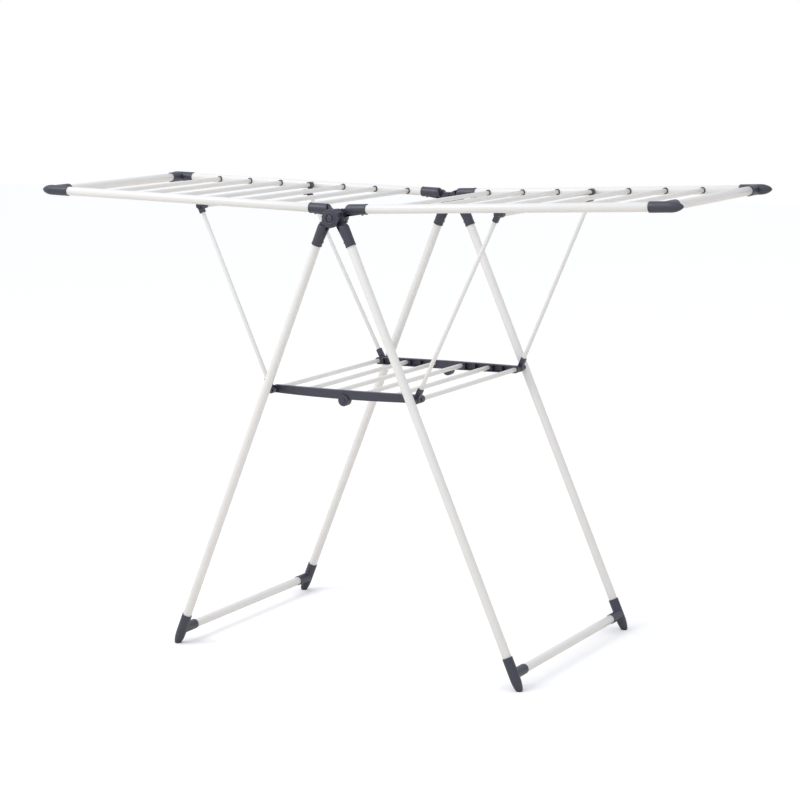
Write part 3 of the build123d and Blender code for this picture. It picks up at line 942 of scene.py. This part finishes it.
# --------------------------------------------------------------------------- wings
@dataclass
class Wing:
    """One fold-down wing: two rails, an end tube, two corners, rods and bushes.

    Attributes:
        wall: Wall of the rail and the end tube.
        rod_wall: Wall of the rod tube.
        corner_r: Radius of the corner barrel.
        corner_len: Length of the corner from its mouth to its tip.
        nose_len: Length of the ogive nose.
        side_reach: Rail centre to the mouth of the corner's side sleeve.
        end_inset: Wing tip to the centre of the end tube.
        bush_r: Radius of a rod bush's flange.
        bush_proud: How far the flange stands off the rail.
        rod_depth: How far a rod goes into the rail.
    """

    sizes: RackSizes
    finishes: Finishes
    side: Side
    wall: float = 0.8
    rod_wall: float = 0.6
    corner_r: float = 11.25
    corner_len: float = 71.0
    nose_len: float = 26.0
    side_reach: float = 46.0
    end_inset: float = 36.0
    bush_r: float = 7.0
    bush_proud: float = 1.8
    rod_depth: float = 3.8

    @property
    def end_d(self) -> float:
        """Hub axis to the centre of the end tube."""
        return self.sizes.wing_reach - self.end_inset

    def corner(self, end: End) -> list[Shell]:
        """Corner fitting: barrel with an ogive nose, and a domed side sleeve.

        The nose radius is corner_r * (1 - t^1.9)^0.62 for t from 0 to 1.

        Args:
            end: Front or back.

        Returns:
            Shells in rack coordinates.
        """
        sz = self.sizes
        frame = wing_frame(sz, self.side, end)
        start, nose = sz.wing_reach - self.corner_len, sz.wing_reach - self.nose_len
        r, bore = self.corner_r, sz.tube_r + sz.snug
        prof = [(self.end_d - sz.socket_r - 1.5, bore), (start + 0.4, bore), (start, bore + 0.35)]
        prof += rounded_corner((start + 0.7, r - 0.7), 0.7, 180, 90, 5)
        prof += [(start + 12.0, r), (start + 30.0, r), (nose, r)]
        t = np.sin(np.linspace(0.0, math.pi / 2, 20))[1:-1]
        prof += list(zip(nose + self.nose_len * t, r * (1.0 - t ** 1.9) ** 0.62))
        prof += [(sz.wing_reach, 0.6)]
        barrel = lathe(prof, 56)
        barrel.rings = barrel.rings + np.array([0.0, sz.wing_plane, sz.axis_offset])
        rs = r + 0.3
        side = [(-7.0, 0.5), (-6.8, 3.2), (-6.0, 6.0), (-4.4, 8.2), (-2.0, 9.9), (1.5, 11.0)]
        side += [(5.0, rs), (9.0, rs)]
        side += [(self.side_reach - 1.4, rs)]
        side += rounded_corner((self.side_reach - 0.7, rs - 0.7), 0.7, 90, 0, 5)
        side += [(self.side_reach, bore + 0.35), (self.side_reach - 0.4, bore), (sz.socket_r + 0.5, bore)]
        sleeve = lathe(side, 56)
        p = sleeve.rings
        local = np.stack([p[..., 1] + self.end_d, sz.wing_plane - p[..., 0],
                          p[..., 2] + sz.axis_offset], axis=-1)
        return [barrel.moved(frame.place), Shell(frame.place(local))]

    def bush(self, frame: ArmFrame, d: float) -> Shell:
        """Moulded bush where a rod enters a rail.

        The flange follows the round rail: its height above the rail's axis is
        sqrt(tube_r^2 - (r sin a)^2) + h, for each angle a round the rod.

        Args:
            frame: Arm axes.
            d: Distance of the rod from the hub axis.

        Returns:
            The shell in rack coordinates.
        """
        sz = self.sizes
        prof = [(-1.6, 5.02), (-1.6, 5.9), (0.0, 5.9), (0.0, self.bush_r), (0.5, self.bush_r + 0.1),
                (self.bush_proud - 0.5, self.bush_r), (self.bush_proud, self.bush_r - 0.6),
                (self.bush_proud, 5.5), (self.bush_proud - 0.3, 5.02)]
        pr = np.asarray(prof)
        a = np.linspace(0.0, 2.0 * math.pi, 40, endpoint=False)[None, :]
        h, r = pr[:, :1], pr[:, 1:]
        seat = np.sqrt(sz.tube_r ** 2 - (r * np.sin(a)) ** 2)
        flat = np.clip(h / self.bush_proud, 0.0, 1.0)
        height = seat * (1 - flat) + sz.tube_r * flat + h
        local = np.stack([d + r * np.cos(a), sz.wing_plane - height, sz.axis_offset + r * np.sin(a)], axis=-1)
        return Shell(frame.place(local), True)

    def build(self) -> None:
        """Make rails, end tube, corners, rods and bushes."""
        sz, word, body = self.sizes, self.side.word, f"wing_{self.side.word}"
        start, stop = sz.tube_start, self.end_d - sz.socket_r - 1.5
        ds = [sz.first_rod + k * sz.rod_pitch for k in range(sz.rods_per_wing)]
        bushes = []
        for end in End:
            frame = wing_frame(sz, self.side, end)
            tag = f"{end.word}_{word}"
            rail = pipe(stop - start, sz.tube_r, self.wall)
            rail.rings = rail.rings + np.array([start, sz.wing_plane, sz.axis_offset])
            make_piece(f"rail_{tag}", [rail.moved(frame.place)], self.finishes.coat, body,
                       [f"wing_rail_{tag}"])
            make_piece(f"corner_{tag}", self.corner(end), self.finishes.plastic, body,
                       [f"wing_corner_{tag}"])
            bushes += [self.bush(frame, d) for d in ds]
        make_piece(f"bushes_{word}", bushes, self.finishes.plastic, body, [f"rod_bushes_{word}"])
        front = wing_frame(sz, self.side, End.FRONT)
        half = sz.wing_plane - sz.socket_r - 0.5
        end_tube = self.cross(front, self.end_d, half, sz.tube_r, self.wall)
        make_piece(f"end_tube_{word}", [end_tube], self.finishes.coat, body, [f"wing_end_tube_{word}"])
        tip = sz.wing_plane - sz.tube_r + self.rod_depth
        rods = [self.cross(front, d, tip, sz.rod_r, self.rod_wall, 32) for d in ds]
        make_piece(f"rods_{word}", rods, self.finishes.coat, body, [f"wing_rods_{word}"])

    def cross(self, frame: ArmFrame, d: float, half: float, radius: float, wall: float,
              segments: int = 48) -> Shell:
        """Tube across the wing at distance d from the hub axis.

        Args:
            frame: Arm axes.
            d: Distance from the hub axis.
            half: Half of the tube's length.
            radius: Outer radius.
            wall: Wall thickness.
            segments: Columns round the tube.

        Returns:
            The shell in rack coordinates.
        """
        p = pipe(2 * half, radius, wall, segments).rings
        local = np.stack([p[..., 1] + d, p[..., 0] - half, p[..., 2] + self.sizes.axis_offset], axis=-1)
        return Shell(frame.place(local), True)


# --------------------------------------------------------------------------- struts
@dataclass
class Strut:
    """One wing strut: a thin tube with an elbow on the cross rod and a hook on the leg pin.

    Attributes:
        y_low: Depth of the hook, from the middle of the rack.
        y_high: Depth of the upper end.
        grip: How far the tube goes into each block.
        block: Width of the square socket blocks.
        reach: Length of the hook's block from its pivot.
        elbow_reach: Length of the elbow's block from its pivot.
        elbow_floor: Distance from the pivot to the tube's upper end.
        sleeve_r: Radius of the elbow's sleeve on the cross rod.
        sleeve_in: Depth of the sleeve's inner end.
        sleeve_out: Depth of the sleeve's closed end.
        trunnion_r: Radius of the stub that turns in the hanger.
        hook_w: Width of the hook.
        hook_r: Outer radius of the hook.
        pin_r: Radius inside the hook.
        mouth_deg: Direction of the hook's mouth, from level.
        wall: Wall of the tube.
    """

    sizes: RackSizes
    side: Side
    end: End
    y_low: float = 244.0
    y_high: float = 225.4
    grip: float = 16.0
    block: float = 11.5
    reach: float = 27.0
    elbow_reach: float = 16.0
    elbow_floor: float = 7.0
    sleeve_r: float = 6.6
    sleeve_in: float = 204.0
    sleeve_out: float = 222.8
    trunnion_r: float = 3.0
    hook_w: float = 12.0
    hook_r: float = 8.2
    pin_r: float = 4.65
    mouth_deg: float = 121.84
    wall: float = 0.7

    def ends(self) -> tuple[np.ndarray, np.ndarray]:
        """Lower and upper pivot points of the front right strut, in millimetres."""
        sz = self.sizes
        leg = leg_frame(sz, Side.RIGHT, End.FRONT)
        wing = wing_frame(sz, Side.RIGHT, End.FRONT)
        low = leg.place(np.array([sz.axle_d, self.y_low, sz.axis_offset]))
        rod_d = sz.first_rod + sz.strut_rod * sz.rod_pitch
        high = wing.place(np.array([rod_d, self.y_high, sz.axis_offset - sz.prop_drop]))
        return low, high

    def mirror(self, pts: np.ndarray) -> np.ndarray:
        """Front right points moved to this strut's side and end."""
        return pts * np.array([self.side.value, -self.end.value, 1.0])

    def along(self, pts: np.ndarray) -> np.ndarray:
        """Points given as (distance from the lower pivot, across Y, across the strut)."""
        low, high = self.ends()
        u = (high - low) / np.linalg.norm(high - low)
        v = np.array([0.0, 1.0, 0.0]) - u * u[1]
        v /= np.linalg.norm(v)
        w = np.cross(u, v)
        return self.mirror(low + pts[..., :1] * u + pts[..., 1:2] * v + pts[..., 2:3] * w)

    def block_shell(self, near: float, far: float) -> Shell:
        """Square block with rounded corners between two distances, eased at its ends.

        Args:
            near: Distance of the end by the pivot.
            far: Distance of the mouth.

        Returns:
            The shell in rack coordinates.
        """
        h = self.block / 2
        f = np.array([0.0, 0.02, 0.06, 0.5, 0.94, 0.98, 1.0])
        size = np.array([0.86, 0.95, 1.0, 1.0, 1.0, 0.96, 0.86]) * h
        s = near + (far - near) * f
        zero = np.zeros_like(s)
        rows = np.stack([s, zero, size, zero, size, np.full_like(s, 6.0)], axis=-1)
        return superellipse_loft(rows, 40).moved(self.along)

    def tube(self) -> Shell:
        """The thin tube between the two blocks."""
        low, high = self.ends()
        length = float(np.linalg.norm(high - low))
        a, b = self.reach - self.grip, length - self.elbow_floor
        shell = pipe(b - a, self.sizes.strut_r, self.wall, 32)
        shell.rings = shell.rings + np.array([a, 0.0, 0.0])
        return shell.moved(self.along)

    def turned(self, profile: Sequence[tuple[float, float]]) -> Shell:
        """Lathe of (depth, radius) pairs about the cross rod's axis.

        Args:
            profile: Depth from the middle of the rack and radius.

        Returns:
            The shell in rack coordinates.
        """
        high = self.ends()[1]
        p = lathe(profile, 40).rings
        return Shell(self.mirror(np.stack([p[..., 1] + high[0], -p[..., 0], p[..., 2] + high[2]], axis=-1)))

    def elbow(self) -> list[Shell]:
        """Sleeve on the cross rod, round head with its trunnion, and the square block."""
        low, high = self.ends()
        length = float(np.linalg.norm(high - low))
        r, bore, head = self.sleeve_r, self.sizes.rod_r + 0.05, self.block / 2
        inner, outer = self.y_high - head, self.y_high + head
        sleeve = [(inner + 1.3, bore), (self.sleeve_in + 0.3, bore), (self.sleeve_in, bore + 0.3)]
        sleeve += rounded_corner((self.sleeve_in + 0.8, r - 0.8), 0.8, 180, 90, 4)
        sleeve += rounded_corner((self.sleeve_out - 0.8, r - 0.8), 0.8, 90, 0, 4)
        knob = rounded_corner((inner + 0.8, head - 0.8), 0.8, 180, 90, 4)
        knob += rounded_corner((outer - 0.8, head - 0.8), 0.8, 90, 0, 4)
        knob += [(outer, self.trunnion_r), (outer + 0.4, self.trunnion_r)]
        block = self.block_shell(length - self.elbow_reach, length - 1.0)
        return [self.turned(sleeve), self.turned(knob), block]

    def catch(self) -> list[Shell]:
        """The open hook on the leg pin and its square block."""
        return [self.hook(self.ends()[0]), self.block_shell(6.0, self.reach)]

    def hook(self, low: np.ndarray) -> Shell:
        """Open cradle round the leg pin: a rounded section swept along a U.

        The U is a half circle of radius (hook_r + pin_r) / 2 with two straight jaws
        that run towards the mouth.

        Args:
            low: Centre of the pin on the front right strut.

        Returns:
            The shell in rack coordinates.
        """
        mid = (self.hook_r + self.pin_r) / 2
        m = math.radians(self.mouth_deg)
        ahead = np.array([math.cos(m), 0.0, math.sin(m)])
        beside = np.array([math.sin(m), 0.0, -math.cos(m)])
        jaw = np.linspace(5.4, 0.0, 6)
        arc = np.linspace(0.0, math.pi, 25)[1:-1]
        fwd = np.concatenate([jaw, -mid * np.sin(arc), jaw[::-1]])
        lat = np.concatenate([np.full(6, mid), mid * np.cos(arc), np.full(6, -mid)])
        path = low + fwd[:, None] * ahead + lat[:, None] * beside
        section = rounded_rectangle(self.hook_r - self.pin_r, self.hook_w, 0.9)
        return sweep(path, np.array([0.0, 1.0, 0.0]), section).moved(self.mirror)


@dataclass
class Prop:
    """The fold-out prop of one wing: two struts joined by a cross rod hung under a wing rod.

    Attributes:
        half: Half of the cross rod's length.
        rod_wall: Wall of the cross rod.
        ring_r: Radius of the hanger's ring on the wing rod.
        ring_in: Depth of the ring's inner end.
        ring_out: Depth of the ring's outer end.
        tab_t: Thickness of the hanger's tab.
        tab_r: Radius of the tab's round end.
    """

    sizes: RackSizes
    finishes: Finishes
    side: Side
    half: float = 220.95
    rod_wall: float = 0.6
    ring_r: float = 7.3
    ring_in: float = 223.5
    ring_out: float = 234.85
    tab_t: float = 3.2
    tab_r: float = 5.5

    def hanger(self, end: End) -> list[Shell]:
        """Ring on the wing rod with the tab that carries a trunnion.

        Args:
            end: Front or back.

        Returns:
            Shells in rack coordinates.
        """
        sz = self.sizes
        frame = wing_frame(sz, self.side, end)
        d, n, bore = sz.first_rod + sz.strut_rod * sz.rod_pitch, sz.axis_offset, sz.rod_r + 0.03
        prof = [(self.ring_in + 0.3, bore), (self.ring_in, bore + 0.3)]
        prof += rounded_corner((self.ring_in + 0.7, self.ring_r - 0.7), 0.7, 180, 90, 4)
        prof += rounded_corner((self.ring_out - 0.7, self.ring_r - 0.7), 0.7, 90, 0, 4)
        prof += [(self.ring_out, bore + 0.3), (self.ring_out - 0.3, bore)]
        p = lathe(prof, 40, True).rings
        ring = Shell(frame.place(np.stack([p[..., 1] + d, p[..., 0], p[..., 2] + n], axis=-1)), True)
        a = np.linspace(math.pi, 2.0 * math.pi, 17)
        end_arc = np.stack([d + self.tab_r * np.cos(a), n - sz.prop_drop + self.tab_r * np.sin(a)], axis=-1)
        top = np.array([(d + self.tab_r, n - sz.rod_r - 0.6), (d - self.tab_r, n - sz.rod_r - 0.6)])
        tab = plate(np.concatenate([end_arc, top]), self.ring_out - self.tab_t, self.ring_out, 0.4)
        return [ring, tab.moved(frame.place)]

    def build(self) -> None:
        """Make the struts, the cross rod and the hangers."""
        sz, word, fin = self.sizes, self.side.word, self.finishes
        body = f"prop_{word}"
        struts = {end: Strut(sz, self.side, end) for end in End}
        make_piece(f"strut_rods_{word}", [struts[end].tube() for end in End], fin.coat, body,
                   [f"strut_tubes_{word}"])
        hooks = struts[End.FRONT].catch() + struts[End.BACK].catch()
        make_piece(f"pin_hooks_{word}", hooks, fin.plastic, body, [f"strut_hooks_{word}"])
        for end in End:
            make_piece(f"elbow_{end.word}_{word}", struts[end].elbow(), fin.plastic, body,
                       [f"strut_sleeve_{end.word}_{word}"])
        high = struts[End.FRONT].ends()[1]
        p = pipe(2 * self.half, sz.rod_r, self.rod_wall, 32).rings
        rod = np.stack([self.side.value * (p[..., 1] + high[0]), p[..., 0] - self.half,
                        p[..., 2] + high[2]], axis=-1)
        make_piece(f"cross_rod_{word}", [Shell(rod, True)], fin.coat, body, [f"prop_rod_{word}"])
        hangers = self.hanger(End.FRONT) + self.hanger(End.BACK)
        make_piece(f"hangers_{word}", hangers, fin.plastic, f"wing_{word}", [f"rod_hangers_{word}"])


# --------------------------------------------------------------------------- shelf
@dataclass
class Shelf:
    """Folding lower shelf: the moulded bars keep their solid shape, the rods are new.

    Attributes:
        per_half: Rods in each half.
        face: Outer face of the bar at its ends.
        bow: How far the bar bows outwards at the middle.
        wall: Wall of the bar in front of each rod's end.
        rod_wall: Wall of the rod tube.
        end_stop: Where the outermost rod ends, in the bar's moulded end.
    """

    sizes: RackSizes
    finishes: Finishes
    per_half: int = 3
    face: float = 230.0
    bow: float = 9.0
    wall: float = 2.0
    rod_wall: float = 0.6
    end_stop: float = 224.0

    def build(self) -> None:
        """Make the shelf rods."""
        sz = self.sizes
        leg = leg_frame(sz, Side.RIGHT, End.FRONT)
        axle_x = float(leg.place(np.array([sz.axle_d, 0.0, sz.axis_offset]))[0])
        for side in Side:
            rods = []
            for k in range(self.per_half):
                x = axle_x * (2 * k + 1) / (2 * self.per_half - 1)
                far = min(1.0, (x + 5.0) / axle_x)
                tip = self.face + self.bow * (1 - far * far) - self.wall
                if k == self.per_half - 1:
                    tip = self.end_stop
                p = pipe(2 * tip, sz.rod_r, self.rod_wall, 32).rings
                pts = np.stack([side.value * x + p[..., 1], p[..., 0] - tip,
                                sz.axle_height + p[..., 2]], axis=-1)
                rods.append(Shell(pts, True))
            make_piece(f"shelf_bars_{side.word}", rods, self.finishes.coat, f"shelf_{side.word}",
                       [f"shelf_rods_{side.word}"])

    def dress(self, nodes: dict[str, bpy.types.Object]) -> None:
        """Give the carried-over bars and hinge pins their finish.

        Args:
            nodes: CAD nodes by name.
        """
        names = [f"shelf_bar_{end.word}_{side.word}" for end in End for side in Side]
        set_finish(nodes, names + ["shelf_hinge_pins"], self.finishes.plastic)


# --------------------------------------------------------------------------- studio
@dataclass
class Studio:
    """Camera, plain pale floor and soft lights.

    Attributes:
        eye: Camera position in metres.
        yaw: Turn of the view to the left of +Y, in degrees.
        pitch: Fall of the view below level, in degrees.
        roll: Roll of the camera, in degrees.
        lens: Focal length in millimetres on a 36 mm sensor.
        bright_side: Direction the brightest part of the surroundings lies in.
        dim: Strength of the surroundings away from the bright side.
        bright: Strength of the surroundings on the bright side.
        floor_seen: Floor colour as the camera sees it.
        floor_bounce: Floor colour for the light it throws back.
        floor_lift: Glow added to the floor the camera sees, to lighten the shadows.
    """

    eye: tuple[float, float, float] = (2.39848, -4.2993, 1.34407)
    yaw: float = 29.133
    pitch: float = 9.322
    roll: float = -0.797
    lens: float = 101.93
    bright_side: tuple[float, float, float] = (-0.52, -0.50, 0.693)
    dim: float = 0.67
    bright: float = 1.12
    floor_seen: str = "#ffffff"
    floor_bounce: str = "#efeae2"
    floor_lift: float = 0.07

    def build(self) -> None:
        """Make the camera, the floor, the sky and the lights."""
        scene = bpy.context.scene
        data = bpy.data.cameras.new("camera")
        data.lens, data.sensor_width = self.lens, 36.0
        data.clip_end = 60.0
        camera = bpy.data.objects.new("camera", data)
        scene.collection.objects.link(camera)
        turn = Matrix.Rotation(math.radians(self.yaw), 4, "Z")
        turn = turn @ Matrix.Rotation(math.radians(90.0 - self.pitch), 4, "X")
        turn = turn @ Matrix.Rotation(math.radians(self.roll), 4, "Z")
        camera.matrix_world = Matrix.Translation(self.eye) @ turn
        scene.camera = camera
        self.floor()
        self.sky()
        self.lamp("key", (-1.9, -2.2, 3.6), 1.8, 40.0)
        scene.view_settings.view_transform = "Standard"

    def floor(self) -> None:
        """Plain white floor: one flat square, 24 m across."""
        half = 12.0
        corners = [(-half, -half, 0.0), (half, -half, 0.0), (half, half, 0.0), (-half, half, 0.0)]
        mesh = bpy.data.meshes.new("studio_floor")
        mesh.from_pydata(corners, [], [(0, 1, 2, 3)])
        floor = bpy.data.objects.new("studio_floor", mesh)
        bpy.context.scene.collection.objects.link(floor)
        material, tree = new_tree("matt white floor paint")
        rays = add_node(tree, "ShaderNodeLightPath")
        seen = add_node(tree, "ShaderNodeBsdfDiffuse", {}, {
            "Color": linear(self.floor_seen), "Roughness": 0.2})
        bounce = add_node(tree, "ShaderNodeBsdfDiffuse", {}, {
            "Color": linear(self.floor_bounce), "Roughness": 0.6})
        lift = add_node(tree, "ShaderNodeEmission", {}, {
            "Color": (1.0, 1.0, 1.0, 1.0), "Strength": self.floor_lift})
        lit = add_node(tree, "ShaderNodeAddShader", {}, {
            0: seen.outputs["BSDF"], 1: lift.outputs["Emission"]})
        mixed = add_node(tree, "ShaderNodeMixShader", {}, {
            "Fac": rays.outputs["Is Camera Ray"], 1: bounce.outputs["BSDF"], 2: lit.outputs["Shader"]})
        add_node(tree, "ShaderNodeOutputMaterial", {}, {"Surface": mixed.outputs["Shader"]})
        mesh.materials.append(material)

    def sky(self) -> None:
        """White surroundings, brighter overhead than at the horizon, seen as plain white."""
        world = bpy.data.worlds.new("studio")
        world.use_nodes = True
        tree = world.node_tree
        tree.nodes.clear()
        ray = add_node(tree, "ShaderNodeTexCoord").outputs["Generated"]
        facing = add_node(tree, "ShaderNodeVectorMath", {"operation": "DOT_PRODUCT"}, {
            0: ray, 1: self.bright_side})
        level = add_node(tree, "ShaderNodeMapRange", {}, {
            "Value": facing.outputs["Value"], "From Min": -0.5, "To Min": self.dim, "To Max": self.bright})
        soft = add_node(tree, "ShaderNodeBackground", {}, {
            "Color": linear("#f8faff"), "Strength": level.outputs["Result"]})
        seen = add_node(tree, "ShaderNodeBackground", {}, {"Color": (1.0, 1.0, 1.0, 1.0), "Strength": 1.0})
        rays = add_node(tree, "ShaderNodeLightPath")
        mixed = add_node(tree, "ShaderNodeMixShader", {}, {
            "Fac": rays.outputs["Is Camera Ray"], 1: soft.outputs["Background"],
            2: seen.outputs["Background"]})
        add_node(tree, "ShaderNodeOutputWorld", {}, {"Surface": mixed.outputs["Shader"]})
        bpy.context.scene.world = world

    def lamp(self, name: str, where: tuple[float, float, float], size: float, power: float) -> None:
        """Square soft box aimed at the middle of the rack.

        Args:
            name: Lamp name.
            where: Position in metres.
            size: Edge of the square in metres.
            power: Power in watts.
        """
        data = bpy.data.lights.new(name, "AREA")
        data.shape, data.size, data.energy = "SQUARE", size, power
        lamp = bpy.data.objects.new(name, data)
        bpy.context.scene.collection.objects.link(lamp)
        spot = Matrix.Translation(where).to_translation()
        aim = (Matrix.Translation((0.0, 0.0, 0.6)).to_translation() - spot).to_track_quat("-Z", "Y")
        lamp.matrix_world = Matrix.Translation(spot) @ aim.to_matrix().to_4x4()


# --------------------------------------------------------------------------- main
def main() -> None:
    """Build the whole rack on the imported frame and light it."""
    logging.basicConfig(level=logging.INFO, format="%(name)s %(message)s")
    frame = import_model()
    nodes = frame["nodes"]
    sizes = RackSizes()
    finishes = Finishes(PowderCoat().material(), MouldedPlastic().material(), ZincSteel().material())
    Studio().build()
    hub = Hub(sizes, finishes)
    hub.build()
    hub.dress(nodes)
    for side in Side:
        legs = LegFrame(sizes, finishes, side)
        legs.build()
        legs.dress(nodes)
        Wing(sizes, finishes, side).build()
        Prop(sizes, finishes, side).build()
    shelf = Shelf(sizes, finishes)
    shelf.build()
    shelf.dress(nodes)
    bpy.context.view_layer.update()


if __name__ == "__main__":
    main()
